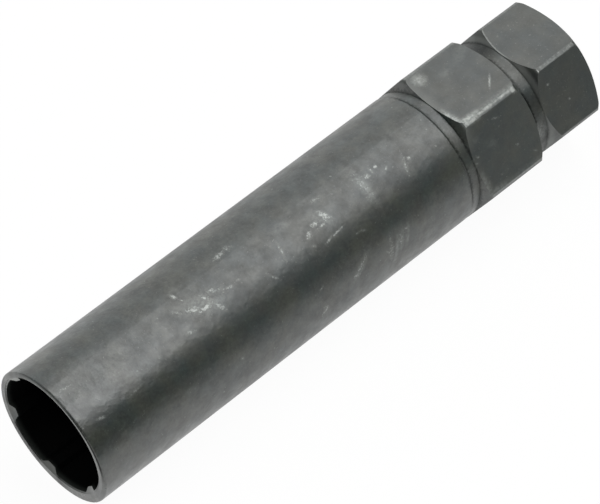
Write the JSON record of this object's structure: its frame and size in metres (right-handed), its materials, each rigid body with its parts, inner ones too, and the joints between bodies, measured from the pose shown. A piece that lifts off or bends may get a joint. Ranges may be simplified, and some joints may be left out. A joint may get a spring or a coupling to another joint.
{
  "type": "wheel lock key",
  "caption": "Splined socket key for wheel lock nuts: a long turned steel barrel with internal teeth at its mouth and a stepped hexagon wrench head.",
  "frame": {"origin": "centre of the barrel's mouth, on the axis of the barrel and the hexagons", "axes": "+X along the key from the mouth to the hexagon head, +Z square to a pair of hexagon flats and up as the key lies on a table, +Y completes a right-handed frame and points at a hexagon corner"},
  "size_m": [0.0931, 0.0234, 0.0206],
  "materials": {
    "phosphated_steel": "black phosphate on turned steel, satin, scuffed"
  },
  "bodies": {
    "root": {"wheel_lock_key": "phosphated_steel"}
  },
  "joints": []
}
